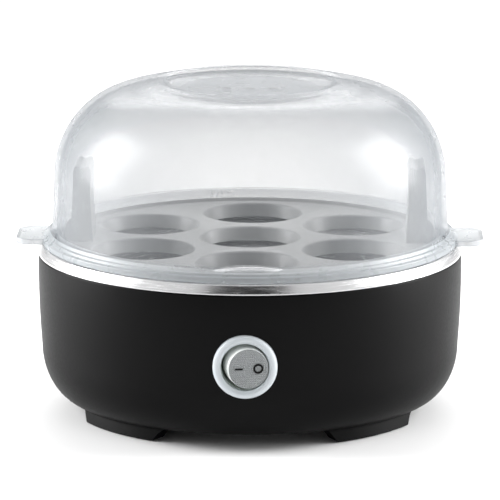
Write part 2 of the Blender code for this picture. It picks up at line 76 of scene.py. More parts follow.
def rounded(corners, closed=False, arcSteps=5):
    # corners are (radius, height) or (radius, height, fillet), all in mm
    outline = []
    last = len(corners) - 1
    for i, corner in enumerate(corners):
        here = Vector(corner[:2])
        fillet = corner[2] if len(corner) > 2 else 0
        if fillet == 0 or (not closed and i in (0, last)):
            outline.append(here)
            continue
        toBefore = Vector(corners[i - 1][:2]) - here
        toAfter = Vector(corners[0 if i == last else i + 1][:2]) - here
        half = toBefore.angle(toAfter) / 2
        reach = min(fillet / math.tan(half), 0.48 * toBefore.length, 0.48 * toAfter.length)
        fillet = reach * math.tan(half)
        towards = (toBefore.normalized() + toAfter.normalized()).normalized()
        middle = here + towards * fillet / math.sin(half)
        start = here + toBefore.normalized() * reach - middle
        end = here + toAfter.normalized() * reach - middle
        start.normalize()
        end.normalize()
        outline += [middle + start.slerp(end, k / arcSteps) * fillet for k in range(arcSteps + 1)]
    return outline


def ellipseArc(centre, radii, startDeg, endDeg, steps):
    angles = [math.radians(startDeg + (endDeg - startDeg) * k / steps) for k in range(steps + 1)]
    return [(centre[0] + radii[0] * math.cos(a), centre[1] + radii[1] * math.sin(a)) for a in angles]


def growLine(name, places):
    # extrudes one vertex from place to place; stays in edit mode with all of it selected
    piece = newFromPrimitive(name, bpy.ops.mesh.primitive_plane_add, size=0.002, location=(0, 0, 0))
    bpy.ops.object.mode_set(mode="EDIT")
    bpy.ops.mesh.select_all(action="SELECT")
    bpy.ops.mesh.merge(type="CENTER")
    bpy.ops.transform.translate(value=places[0])
    for here, there in zip(places, places[1:]):
        bpy.ops.mesh.extrude_region_move(TRANSFORM_OT_translate={"value": there - here})
    bpy.ops.mesh.select_all(action="SELECT")
    return piece


def growSlab(name, shape, front, depth):
    # a flat outline in x and z drawn out along Y, all in mm; stays in edit mode with its back face selected
    piece = growLine(name, [Vector((p[0] * mm, front * mm, p[1] * mm)) for p in shape])
    bpy.ops.mesh.edge_face_add()
    bpy.ops.mesh.extrude_region_move(TRANSFORM_OT_translate={"value": (0, depth * mm, 0)})
    return piece


def turned(name, outline, steps=144, facing="up", centre=(0, 0, 0), closed=False):
    # spins an outline about the axis through centre; facing "front" makes that axis -Y
    def place(point):
        r, h = point[0] * mm, point[1] * mm
        offset = Vector((r, 0, h)) if facing == "up" else Vector((r, -h, 0))
        return Vector(centre) + offset
    places = [place(p) for p in outline]
    if closed:
        places.append(places[0])
    piece = growLine(name, places)
    bpy.ops.mesh.remove_doubles(threshold=weldDistance)
    axis = (0, 0, 1) if facing == "up" else (0, 1, 0)
    bpy.ops.mesh.spin(steps=steps, angle=math.tau, center=centre, axis=axis)
    cleanUp()
    return piece


def cleanUp():
    # in edit mode: merges seams and poles, turns the faces outwards
    bpy.ops.mesh.select_all(action="SELECT")
    bpy.ops.mesh.remove_doubles(threshold=weldDistance)
    bpy.ops.mesh.normals_make_consistent(inside=False)
    bpy.ops.object.mode_set(mode="OBJECT")


def smooth(piece, angle=38):
    pick(piece)
    bpy.ops.object.shade_smooth_by_angle(angle=math.radians(angle))
    return piece


def applyPlace(piece):
    pick(piece)
    bpy.ops.object.transform_apply(location=True, rotation=True, scale=True)
    return piece


def turnedAboutUp(piece, degrees):
    piece.rotation_euler.z = math.radians(degrees)
    return applyPlace(piece)


def combine(piece, tool, operation):
    step = piece.modifiers.new(operation.title(), "BOOLEAN")
    step.operation = operation
    step.object = tool
    pick(piece)
    bpy.ops.object.modifier_apply(modifier=step.name)
    bpy.data.objects.remove(tool)
    bpy.ops.object.mode_set(mode="EDIT")
    bpy.ops.mesh.select_all(action="SELECT")
    bpy.ops.mesh.remove_doubles(threshold=weldDistance)
    bpy.ops.object.mode_set(mode="OBJECT")
    return piece


def selectEdges(piece, test):
    # edge select mode, only the edges that pass the test on their two ends
    pick(piece)
    bpy.ops.object.mode_set(mode="EDIT")
    bpy.ops.mesh.select_mode(type="EDGE")
    bpy.ops.mesh.select_all(action="DESELECT")
    bpy.ops.object.mode_set(mode="OBJECT")
    verts = piece.data.vertices
    for edge in piece.data.edges:
        edge.select = test(verts[edge.vertices[0]].co, verts[edge.vertices[1]].co)
    bpy.ops.object.mode_set(mode="EDIT")


def selectFaces(piece, test):
    pick(piece)
    bpy.ops.object.mode_set(mode="EDIT")
    bpy.ops.mesh.select_mode(type="FACE")
    bpy.ops.mesh.select_all(action="DESELECT")
    bpy.ops.object.mode_set(mode="OBJECT")
    for face in piece.data.polygons:
        face.select = test(face)
    bpy.ops.object.mode_set(mode="EDIT")


def block(name, low, high, bevel=0.0, bevelSteps=3):
    size = [b - a for a, b in zip(low, high)]
    middle = [(a + b) / 2 for a, b in zip(low, high)]
    piece = newFromPrimitive(name, bpy.ops.mesh.primitive_cube_add, size=1, location=middle)
    piece.scale = size
    applyPlace(piece)
    if bevel:
        bpy.ops.object.mode_set(mode="EDIT")
        bpy.ops.mesh.select_all(action="SELECT")
        bpy.ops.mesh.bevel(offset=bevel, segments=bevelSteps)
        bpy.ops.object.mode_set(mode="OBJECT")
    return piece


# materials

def newMaterial(name):
    material = bpy.data.materials.new(name)
    material.use_nodes = True
    return material, material.node_tree, material.node_tree.nodes["Principled BSDF"]


def setShader(shader, **values):
    for key, value in values.items():
        shader.inputs[key.replace("_", " ")].default_value = value


def addNode(tree, kind, inputs=(), **settings):
    node = tree.nodes.new(kind)
    for key, value in settings.items():
        setattr(node, key, value)
    for key, value in dict(inputs).items():
        if isinstance(value, bpy.types.NodeSocket):
            tree.links.new(value, node.inputs[key])
        else:
            node.inputs[key].default_value = value
    return node


def objectPlace(tree):
    return addNode(tree, "ShaderNodeTexCoord").outputs["Object"]


def noise(tree, place, scale, detail=3.0, rough=0.5):
    return addNode(tree, "ShaderNodeTexNoise",
                   {"Vector": place, "Scale": scale, "Detail": detail, "Roughness": rough}).outputs["Fac"]


def ramp(tree, value, source, low, high, kind="LINEAR"):
    inputs = {"Value": value, "From Min": source[0], "From Max": source[1], "To Min": low, "To Max": high}
    return addNode(tree, "ShaderNodeMapRange", inputs, interpolation_type=kind).outputs["Result"]


def spread(tree, pattern, low, high):
    # noise seldom leaves the middle of its range, so that part is carried to low..high
    return ramp(tree, pattern, (0.3, 0.7), low, high)


def maths(tree, operation, *values):
    return addNode(tree, "ShaderNodeMath", dict(enumerate(values)), operation=operation).outputs["Value"]


def blendColours(tree, factor, first, second):
    node = addNode(tree, "ShaderNodeMix", data_type="RGBA")
    tree.links.new(factor, node.inputs[0])
    for socket in node.inputs:
        if socket.type == "RGBA" and socket.name == "A":
            socket.default_value = (*first, 1)
        if socket.type == "RGBA" and socket.name == "B":
            socket.default_value = (*second, 1)
    return [s for s in node.outputs if s.type == "RGBA"][0]


def bump(tree, shader, height, strength, distance):
    node = addNode(tree, "ShaderNodeBump", {"Height": height, "Strength": strength, "Distance": distance})
    tree.links.new(node.outputs["Normal"], shader.inputs["Normal"])


def mouldedPlastic(name, darker, lighter, roughness, specular=0.5, grain=900.0, grainDepth=0.00004):
    # satin moulding: slow colour drift, fine spark-eroded grain
    material, tree, shader = newMaterial(name)
    place = objectPlace(tree)
    drift = noise(tree, place, scale=14.0, detail=2.0)
    colour = blendColours(tree, spread(tree, drift, 0, 1), darker, lighter)
    tree.links.new(colour, shader.inputs["Base Color"])
    fine = noise(tree, place, grain, detail=2.0, rough=0.6)
    tree.links.new(spread(tree, fine, roughness[0], roughness[1]), shader.inputs["Roughness"])
    bump(tree, shader, fine, strength=0.35, distance=grainDepth)
    setShader(shader, Specular_IOR_Level=specular)
    return material


def turnedSteel(name, colour, roughness, ringScale=1500.0, lineScale=9.0):
    # lines run round the axis, as a lathe or a brush leaves them
    material, tree, shader = newMaterial(name)
    split = addNode(tree, "ShaderNodeSeparateXYZ", {"Vector": objectPlace(tree)})
    x, y, z = (split.outputs[k] for k in "XYZ")
    angle = maths(tree, "ARCTAN2", y, x)
    flat = addNode(tree, "ShaderNodeCombineXYZ", {"X": x, "Y": y})
    radius = addNode(tree, "ShaderNodeVectorMath", {0: flat.outputs["Vector"]}, operation="LENGTH")
    lines = addNode(tree, "ShaderNodeCombineXYZ")
    for source, target, scale in ((angle, "X", lineScale), (radius.outputs["Value"], "Y", ringScale),
                                  (z, "Z", ringScale)):
        tree.links.new(maths(tree, "MULTIPLY", source, scale), lines.inputs[target])
    streak = noise(tree, lines.outputs["Vector"], scale=1.0, detail=4.0, rough=0.65)
    shade = blendColours(tree, spread(tree, streak, 0, 1), [c * 0.86 for c in colour], colour)
    tree.links.new(shade, shader.inputs["Base Color"])
    tree.links.new(spread(tree, streak, *roughness), shader.inputs["Roughness"])
    bump(tree, shader, streak, strength=0.25, distance=0.00003)
    setShader(shader, Metallic=1.0)
    return material


def frostedClear(name, darker, lighter, veilRange):
    # milky clear plastic: denser and less glossy where it is seen edge on, with painted shade darkening its
    # colour there
    material, tree, shader = newMaterial(name)
    place = objectPlace(tree)
    edge = addNode(tree, "ShaderNodeLayerWeight", {"Blend": 0.42}).outputs["Facing"]
    cloud = spread(tree, noise(tree, place, scale=30.0, detail=3.0), 0.85, 1.0)
    # painted shade: the colour goes over to the darker one towards the edges seen edge on
    paintedEdgeShade = ramp(tree, edge, (0.35, 1.0), cloud, 0.0)
    tree.links.new(blendColours(tree, paintedEdgeShade, darker, lighter), shader.inputs["Base Color"])
    tree.links.new(ramp(tree, edge, (0.0, 1.0), *veilRange), shader.inputs["Alpha"])
    haze = noise(tree, place, scale=220.0, detail=2.0)
    tree.links.new(spread(tree, haze, 0.26, 0.32), shader.inputs["Roughness"])
    bump(tree, shader, noise(tree, place, scale=24.0, detail=1.0), strength=0.03, distance=0.00004)
    tree.links.new(ramp(tree, edge, (0.45, 0.95), 0.5, 0.12), shader.inputs["Specular IOR Level"])
    setShader(shader, IOR=1.6)
    return material


def glossPlastic(name, colour, roughness=0.16):
    material, tree, shader = newMaterial(name)
    place = objectPlace(tree)
    drift = noise(tree, place, scale=60.0, detail=2.0)
    shade = blendColours(tree, spread(tree, drift, 0, 1), [c * 0.96 for c in colour], colour)
    tree.links.new(shade, shader.inputs["Base Color"])
    tree.links.new(spread(tree, noise(tree, place, scale=400.0), roughness, roughness + 0.08),
                   shader.inputs["Roughness"])
    bump(tree, shader, noise(tree, place, scale=120.0, detail=1.0), strength=0.1, distance=0.00005)
    setShader(shader, Coat_Weight=0.2, Coat_Roughness=0.1)
    return material


def softRubber():
    material, tree, shader = newMaterial("soft_rubber")
    place = objectPlace(tree)
    dust = noise(tree, place, scale=260.0, detail=4.0)
    shade = blendColours(tree, spread(tree, dust, 0, 1), (0.018, 0.018, 0.019), (0.035, 0.034, 0.033))
    tree.links.new(shade, shader.inputs["Base Color"])
    tree.links.new(spread(tree, dust, 0.62, 0.85), shader.inputs["Roughness"])
    bump(tree, shader, dust, strength=0.4, distance=0.00006)
    return material


def plainMetal(name, colour, roughness, pitScale=700.0):
    # pressed or cast metal with fine mottling
    material, tree, shader = newMaterial(name)
    place = objectPlace(tree)
    mottle = noise(tree, place, pitScale, detail=3.0)
    shade = blendColours(tree, spread(tree, mottle, 0, 1), [c * 0.82 for c in colour], colour)
    tree.links.new(shade, shader.inputs["Base Color"])
    tree.links.new(spread(tree, mottle, *roughness), shader.inputs["Roughness"])
    bump(tree, shader, mottle, strength=0.3, distance=0.00003)
    setShader(shader, Metallic=1.0)
    return material


def lampGlass():
    material, tree, shader = newMaterial("lamp_glass")
    place = objectPlace(tree)
    glow = noise(tree, place, scale=300.0)
    shade = blendColours(tree, spread(tree, glow, 0, 1), (0.75, 0.3, 0.12), (0.95, 0.55, 0.3))
    tree.links.new(shade, shader.inputs["Base Color"])
    tree.links.new(spread(tree, glow, 0.06, 0.12), shader.inputs["Roughness"])
    return material


def makeMaterials():
    return {
        "blackSatin": mouldedPlastic("black_satin", (0.0007, 0.0007, 0.0008), (0.0011, 0.0011, 0.0012),
                                     (0.40, 0.46), specular=0.09),
        "blackInner": mouldedPlastic("black_inner", (0.008, 0.008, 0.009), (0.014, 0.014, 0.015),
                                     (0.5, 0.62)),
        "clear": frostedClear("frosted_clear", (0.12, 0.138, 0.156), (0.31, 0.326, 0.342), (0.17, 0.62)),
        "clearThick": frostedClear("frosted_thick", (0.2, 0.225, 0.245), (0.54, 0.57, 0.59), (0.38, 0.72)),
        "trayGrey": mouldedPlastic("tray_grey", (0.33, 0.334, 0.338), (0.37, 0.374, 0.375), (0.32, 0.42)),
        "rimSteel": turnedSteel("rim_steel", (0.80, 0.80, 0.81), (0.16, 0.3)),
        "paleGloss": glossPlastic("pale_gloss", (0.56, 0.60, 0.63)),
        "housingGrey": glossPlastic("housing_grey", (0.66, 0.74, 0.68), 0.24),
        # painted light: a pale, lit copy of the rocker's grey plastic, worn by its sides
        "rockerPaintedLit": glossPlastic("rocker_painted_lit", (0.80, 0.83, 0.81), 0.2),
        "rockerGrey": glossPlastic("rocker_grey", (0.28, 0.295, 0.30), 0.26),
        "markBlack": mouldedPlastic("mark_black", (0.003, 0.003, 0.003), (0.006, 0.006, 0.006), (0.5, 0.6),
                                    specular=0.1),
        "rubber": softRubber(),
        "zincSteel": plainMetal("zinc_steel", (0.62, 0.63, 0.64), (0.28, 0.42)),
        "castAluminium": plainMetal("cast_aluminium", (0.74, 0.74, 0.75), (0.38, 0.55), 420.0),
        "brass": plainMetal("brass", (0.76, 0.58, 0.28), (0.25, 0.38)),
        "lampGlass": lampGlass(),
        "wireBlack": mouldedPlastic("wire_black", (0.014, 0.014, 0.014), (0.022, 0.022, 0.022), (0.4, 0.5)),
        "wireWhite": mouldedPlastic("wire_white", (0.66, 0.66, 0.62), (0.76, 0.76, 0.72), (0.5, 0.62),
                                    grain=1600.0),
        "wireBlue": mouldedPlastic("wire_blue", (0.03, 0.075, 0.3), (0.05, 0.1, 0.4), (0.4, 0.5)),
    }


materials = makeMaterials()
print("materials ready:", len(materials))

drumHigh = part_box("base_shell")[1]
drumR = drumHigh.x / mm
drumTop = drumHigh.z / mm
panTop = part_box("heating_pan")[1].z / mm
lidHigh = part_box("lid")[1]
lidTop = lidHigh.z / mm
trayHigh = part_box("egg_tray")[1].z / mm
bezelLow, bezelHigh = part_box("switch_bezel")
switchCentre = Vector(((bezelLow.x + bezelHigh.x) / 2, bezelHigh.y, (bezelLow.z + bezelHigh.z) / 2))
# mm: from the trim ring's box to the flat it sits on, and the gland's reach into the drum
bezelGap = 0.3
glandInside = 7.0


def finishPiece(piece, body, material, replaced=(), angle=38):
    smooth(piece, angle)
    piece.data.materials.clear()
    piece.data.materials.append(materials[material])
    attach(piece, body)
    if replaced:
        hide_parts(*replaced)
    return piece


# drum with its feet and arches

drum = {
    "wall": 2.5, "ledgeZ": (8.2, 11.2), "ledgeR": 55.0, "footInnerR": 63.0, "footZ": 0.3,
    "archHalfDeg": (30.3, 25.7), "archTop": 5.8, "archCorner": 2.2, "archEase": 1.8, "archFlare": 1.03,
    "archReach": (95.0, 50.0), "side": ((51.0, 0.0), (41.0, 0.2), (33.0, 0.6)), "bowlTop": (1.1, 25.4),
    "bowlLow": (71.6, 5.6), "bowlPowers": (1.5, 2.04), "bowlSteps": 22,
    "bezelSeatR": 12.3, "switchHoleR": 9.9, "glandSeatR": 7.3, "glandHoleR": 4.5, "steps": 192,
}


def drumOutline(sizes):
    r, top, wall = drumR, drumTop, sizes["wall"]
    side = [(r - inset, z) for z, inset in sizes["side"]]
    # the bowl is a superellipse that stops short of its lowest point
    highR, highZ = r - sizes["bowlTop"][0], sizes["bowlTop"][1]
    lowR, lowZ = sizes["bowlLow"]
    across, down = (2 / power for power in sizes["bowlPowers"])
    bowl = []
    for k in range(sizes["bowlSteps"]):
        t = math.radians(90 * k / (sizes["bowlSteps"] + 1.6))
        bowl.append((lowR + (highR - lowR) * math.cos(t) ** across,
                     highZ - (highZ - lowZ) * math.sin(t) ** down))
    foot = [(70.3, 5.4, 2.6), (71.3, sizes["footZ"], 0.4), (sizes["footInnerR"], sizes["footZ"], 0.5)]
    low, high = sizes["ledgeZ"]
    inside = [(sizes["footInnerR"], low), (sizes["ledgeR"], low), (sizes["ledgeR"], high), (73.2, high, 2),
              (76.8, 16.5, 6), (78.9, 25.4, 8), (r - wall, 41.0, 8), (r - wall, top, 0.3)]
    return rounded([(r, top, 0.5)] + side + bowl + foot + inside, closed=True)


def archCutter(sizes, degrees):
    # a wedge with rounded upper corners, wider towards the outside
    lowHalf, highHalf = (math.tan(math.radians(a)) for a in sizes["archHalfDeg"])
    outer, inner = sizes["archReach"]
    low, high = lowHalf * outer * sizes["archFlare"], highHalf * outer
    top, corner = sizes["archTop"], sizes["archCorner"] * sizes["archEase"]
    corners = [(-low, -1.0), (-high, top, corner), (high, top, corner), (low, -1.0)]
    shape = rounded(corners, closed=True, arcSteps=6)
    piece = growSlab("cutter", shape, -outer, outer - inner)
    bpy.ops.transform.resize(value=(inner / outer, 1, 1), center_override=(0, 0, 0))
    cleanUp()
    return turnedAboutUp(piece, degrees)


cutLength = 0.03


def frontCylinder(radius, y, z, depth=cutLength, sides=96):
    # a cylinder along Y for seats and holes: radius in mm, the rest in metres
    return newFromPrimitive("cutter", bpy.ops.mesh.primitive_cylinder_add, radius=radius * mm, depth=depth,
                            vertices=sides, location=(0, y, z), rotation=(math.pi / 2, 0, 0))


def makeDrum(sizes):
    piece = turned("drum", drumOutline(sizes), sizes["steps"], closed=True)
    for degrees in (0, 90, 180, 270):
        combine(piece, archCutter(sizes, degrees), "DIFFERENCE")
    half = cutLength / 2
    seatY, z = switchCentre.y + bezelGap * mm, switchCentre.z
    glandLow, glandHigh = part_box("cord_gland")
    glandY, glandZ = glandLow.y + glandInside * mm, (glandLow.z + glandHigh.z) / 2
    cuts = [(sizes["bezelSeatR"], seatY - half, z), (sizes["switchHoleR"], seatY, z),
            (sizes["glandSeatR"], glandY + half, glandZ), (sizes["glandHoleR"], glandY, glandZ)]
    for radius, y, height in cuts:
        combine(piece, applyPlace(frontCylinder(radius, y, height)), "DIFFERENCE")
    return finishPiece(piece, "base", "blackSatin", ["base_shell"], angle=32)


makeDrum(drum)
print("drum ready")


# pressed pan with its bright rim band

pan = {"sheet": 0.8, "wallR": 77.4, "ledgeZ": 59.4, "floorZ": 49.8, "steps": 192}


def makePan(sizes):
    sheet, wall, ledge, floor = sizes["sheet"], sizes["wallR"], sizes["ledgeZ"], sizes["floorZ"]
    low = drumTop + 0.3
    # a pressed ring in the floor, the step up to the tray's ledge, the wall and the rim rolled over the drum
    top = [(0, floor - 0.4), (12, floor - 0.4, 3), (14, floor - 0.9, 2), (20, floor - 0.9, 2),
           (22, floor - 0.4, 3), (65.0, floor, 4), (67.4, floor + 0.8, 3), (69.6, ledge - 0.6, 1.2),
           (71.0, ledge, 1.2),
           (wall, ledge, 1.0), (wall, panTop, 0.9), (80.9, panTop, 0.8), (drumR - 0.05, low + 0.6, 2.0),
           (drumR, low)]
    under = [(drumR - sheet, low), (80.2, panTop - sheet, 0.4), (wall + sheet, panTop - sheet, 0.3),
             (wall + sheet, ledge - sheet, 0.6), (71.4, ledge - sheet, 0.8), (70.4, ledge - 1.2, 0.8),
             (68.2, floor + 0.4, 2), (65.2, floor - sheet, 3), (0, floor - 0.4 - sheet)]
    piece = turned("pan", rounded(top + under, arcSteps=6), sizes["steps"])
    return finishPiece(piece, "base", "rimSteel", ["heating_pan"])


makePan(pan)
print("pan ready")


# egg tray with seven wells and two handles

tray = {
    "topZ": 66.6, "plate": 1.8, "rimR": 73.9, "skirtLowZ": 59.7, "wellR": 19.3, "wellPitchR": 46.5,
    "collarDrop": 3.4, "handleR": (61.4, 68.6), "handleHalfW": 11.0, "handleWall": 2.0,
    "ribZ": 84.0, "ribThick": 1.4, "mouthR": 1.1, "steps": 160,
}


def wellPlaces(sizes):
    ring = [math.radians(60 * k + 30) for k in range(6)]
    pitch = sizes["wellPitchR"] * mm
    return [(0, 0, 0)] + [(pitch * math.cos(a), pitch * math.sin(a), 0) for a in ring]


def movedTool(name, outline, place, steps=72):
    tool = turned(name, outline, steps)
    tool.location = place
    return applyPlace(tool)


def handleShape(sizes):
    inner, outer = sizes["handleR"]
    low, top = sizes["topZ"] - sizes["plate"] + 0.3, trayHigh
    foot = ellipseArc((outer, sizes["topZ"] + 0.6), (3.6, 8.6), 0, 84, 10)
    return rounded([(inner - 0.8, low), (72.2, low), *foot, (outer + 0.1, sizes["topZ"] + 13, 1.5),
                    (outer - 0.5, top - 2.5, 2), (outer - 1.1, top, 1.0), (outer - 2.4, top, 0.8),
                    (outer - 3.2, top - 0.8, 0.8), (inner + 2.6, top - 0.8, 0.8), (inner + 1.8, top, 0.8),
                    (inner + 0.6, top, 1.0), (inner - 0.1, top - 2.5, 2), (inner + 0.3, sizes["ribZ"], 8)],
                   closed=True)


def makeHandle(sizes, turnDeg):
    # an upright block with two pockets in its outer side, a rib between them
    half, wall, rib = sizes["handleHalfW"], sizes["handleWall"], sizes["ribZ"]
    handle = growSlab("handle", handleShape(sizes), -half, 2 * half)
    cleanUp()
    turnedAboutUp(handle, turnDeg)
    inner, outer = sizes["handleR"]
    spans = [(sizes["topZ"] + 12.0, rib), (rib + sizes["ribThick"], trayHigh - 3.0)]
    side = 1 if turnDeg == 0 else -1
    for bottom, top in spans:
        xs = sorted((side * (inner + 2.6) * mm, side * (outer + 2.5) * mm))
        low, high = (xs[0], -(half - wall) * mm, bottom * mm), (xs[1], (half - wall) * mm, top * mm)
        pocket = block("pocket", low, high, 0.0008)
        combine(handle, pocket, "DIFFERENCE")
    return handle


def makeTray(sizes):
    top, rim = sizes["topZ"], sizes["rimR"]
    low = top - sizes["plate"]
    outline = rounded([(0, top), (70.6, top, 0.8), (72.4, top + 0.9, 0.4), (rim - 0.35, top + 0.9, 0.35),
                       (rim, top + 0.4, 0.3), (rim, sizes["skirtLowZ"], 0.4), (72.3, sizes["skirtLowZ"], 0.4),
                       (72.3, low, 0.6), (0, low)])
    piece = turned("tray", outline, sizes["steps"])
    wellR, drop = sizes["wellR"], sizes["collarDrop"]
    collar = [(0, low + 0.4), (wellR + 1.6, low + 0.4), (wellR - 0.2, low - drop), (0, low - drop)]
    for place in wellPlaces(sizes):
        combine(piece, movedTool("collar", collar, place), "UNION")
    for turnDeg in (0, 180):
        combine(piece, makeHandle(sizes, turnDeg), "UNION")
    soft = sizes["mouthR"]
    mouth = [(wellR + soft * (1 - math.cos(a)), top - soft + soft * math.sin(a))
             for a in map(math.radians, (90, 70, 50, 30, 10))]
    hole = [(0, top + 1), (wellR + soft, top + 1)] + mouth + [(wellR - 1.7, low - 5), (0, low - 5)]
    for place in wellPlaces(sizes):
        combine(piece, movedTool("hole", hole, place), "DIFFERENCE")
    return finishPiece(piece, "tray", "trayGrey", ["egg_tray"], angle=30)


makeTray(tray)
print("tray ready")


# lid: dome, stepped flange, two ears, three vents

lid = {
    "wall": 1.8, "wallR": 77.0, "wallTopR": 76.2, "wallTopZ": 90.5, "shoulderR": 43.8, "shoulderZ": 126.2,
    "dishR": 33.5, "dishZ": 125.4, "flangeR": 80.8, "skirtR": (75.2, 76.6), "skirtLowZ": 64.2,
    "thickBelowZ": 70.0, "earHalfW": 13.0, "earThick": 2.4, "earCorner": 6.0, "earRootR": 77.9,
    "earEdge": 1.3, "earField": 0.7, "earBevel": 0.35, "ventR": 1.7, "ventSpacing": 9.0, "steps": 192,
}


def lidOutline(sizes):
    # from the middle of the top down the outside, over the flange and skirt, and back up the inside
    wall, dish, crown = sizes["wall"], sizes["dishZ"], lidTop
    centre = (sizes["shoulderR"], sizes["wallTopZ"])
    wide, tall = sizes["wallTopR"] - sizes["shoulderR"], sizes["shoulderZ"] - sizes["wallTopZ"]
    flange, base = sizes["flangeR"], panTop + 0.3
    skirtIn, skirtOut = sizes["skirtR"]
    outside = [(0, dish - 0.2), (27.0, dish + 0.1, 4), (31.6, dish + 1.0, 3),
               (sizes["dishR"], crown - 0.4, 1.2), (35.8, crown, 1.6), (40.0, crown - 0.9, 3)]
    outside += ellipseArc(centre, (wide, tall), 88, 0, 28)
    outside += [(sizes["wallR"], 70.9, 0.5), (77.9, 70.5, 0.4), (78.3, 69.2, 0.35), (79.3, 69.0, 0.3),
                (79.6, 68.1, 0.3), (flange, 67.7, 0.45), (flange, base, 0.45), (skirtOut, base, 0.2)]
    inside = [(skirtOut, sizes["skirtLowZ"], 0.5), (skirtIn, sizes["skirtLowZ"], 0.5), (skirtIn, 70.6, 1)]
    inside += ellipseArc(centre, (wide - wall, tall - wall), 0, 88, 28)
    inside += [(39.8, crown - 0.9 - wall, 3), (35.8, crown - wall - 0.2, 1.5), (33.2, dish, 1.5),
               (31.0, dish - wall + 0.9, 2), (27.2, dish - wall + 0.1, 4), (0, dish - wall - 0.2)]
    return rounded(outside + inside, arcSteps=5)


def makeEar(sizes, side):
    # a tongue with a rounded end, a raised edge and a shallow field
    reach = lidHigh.x / mm
    low = panTop + 0.3
    xs = sorted((side * sizes["earRootR"] * mm, side * reach * mm))
    half = sizes["earHalfW"] * mm
    ear = block("ear", (xs[0], -half, low * mm), (xs[1], half, (low + sizes["earThick"]) * mm))
    tip = side * reach * mm
    selectEdges(ear, lambda a, b: abs(a.x - tip) < 1e-5 and abs(b.x - tip) < 1e-5 and abs(a.z - b.z) > 1e-4)
    bpy.ops.mesh.bevel(offset=sizes["earCorner"] * mm, segments=10)
    bpy.ops.object.mode_set(mode="OBJECT")
    selectFaces(ear, lambda face: face.normal.z > 0.9)
    bpy.ops.mesh.inset(thickness=sizes["earEdge"] * mm)
    bpy.ops.transform.translate(value=(0, 0, -sizes["earField"] * mm))
    bpy.ops.object.mode_set(mode="OBJECT")
    rim = ear.modifiers.new("Edge", "BEVEL")
    rim.width = sizes["earBevel"] * mm
    rim.segments = 3
    rim.limit_method = "ANGLE"
    rim.angle_limit = math.radians(25)
    pick(ear)
    bpy.ops.object.modifier_apply(modifier=rim.name)
    return ear


def makeLid(sizes):
    piece = turned("lid_dome", lidOutline(sizes), sizes["steps"])
    for side in (1, -1):
        combine(piece, makeEar(sizes, side), "UNION")
    ventR, dish = sizes["ventR"], sizes["dishZ"]
    vent = rounded([(0, 134), (ventR + 2, 134), (ventR + 0.5, dish - 0.15, 0.4), (ventR, dish - 0.6, 0.3),
                    (ventR, 118), (0, 118)])
    for k in (-1, 0, 1):
        combine(piece, movedTool("vent", vent, (k * sizes["ventSpacing"] * mm, 0, 0), 40), "DIFFERENCE")
    finishPiece(piece, "lid", "clear", ["lid"], angle=32)
    piece.data.materials.append(materials["clearThick"])
    for face in piece.data.polygons:
        face.material_index = 1 if face.center.z < sizes["thickBelowZ"] * mm else 0
    return piece


makeLid(lid)
print("lid ready")


# round rocker switch: bezel, housing, rocker and its marks

switch = {
    "bezelR": 12.1, "openingR": 9.0, "pivot": -3.0, "tiltDeg": 10.0, "faceR": 7.5, "bodyR": 8.2,
    "faceOut": 7.95, "dotPitch": 0.84, "dotHeight": 0.3, "barSize": (2.9, 0.55), "ringR": (1.2, 1.88),
    "markOffset": 3.65, "markProud": 0.34, "housingR": (8.9, 9.6), "housingBack": -14.5,
    "collarR": 10.6, "hingeR": 1.1, "stubR": 0.8, "stubLength": 18.6,
}
seat = Vector((switchCentre.x, bezelHigh.y + bezelGap * mm, switchCentre.z))


def makeBezel(sizes):
    wide, hole = sizes["bezelR"], sizes["openingR"]
    outline = rounded([(hole, 0.3), (wide, 0.3), (wide, 2.0, 0.8), (wide - 0.45, 3.0, 0.8),
                       (wide - 1.3, 3.5, 1.5), (hole + 0.9, 3.42, 1.5), (hole, 2.7, 0.35)], closed=True)
    piece = turned("bezel", outline, 128, "front", seat, closed=True)
    return finishPiece(piece, "base", "paleGloss", ["switch_bezel"])


def makeHousing(sizes):
    bore, skin = sizes["housingR"]
    back = sizes["housingBack"]
    collar = sizes["collarR"]
    outline = rounded([(0, back), (bore, back, 0.8), (bore, 0, 0.2), (skin, 0, 0.2), (skin, -2.6),
                       (collar, -2.6, 0.3), (collar, -3.8, 0.3), (skin, -3.8), (skin, back - 1.5, 0.6),
                       (0, back - 1.5)])
    piece = turned("housing", outline, 96, "front", seat)
    hinge = newFromPrimitive("cutter", bpy.ops.mesh.primitive_cylinder_add, radius=sizes["hingeR"] * mm,
                             depth=24 * mm, vertices=24,
                             location=(seat.x, seat.y - sizes["pivot"] * mm, seat.z))
    combine(piece, applyPlace(hinge), "DIFFERENCE")
    return finishPiece(piece, "base", "housingGrey", ["switch_housing"])


def tiltAtPivot(piece, sizes):
    # the O side is pressed in
    pick(piece)
    pivot = Vector((seat.x, seat.y - sizes["pivot"] * mm, seat.z))
    turn = Matrix.Rotation(math.radians(sizes["tiltDeg"]), 4, "Z")
    piece.matrix_world = Matrix.Translation(pivot) @ turn @ Matrix.Translation(-pivot) @ piece.matrix_world
    return applyPlace(piece)


def facePoint(sizes, out):
    return Vector((seat.x, seat.y - (sizes["pivot"] + out) * mm, seat.z))


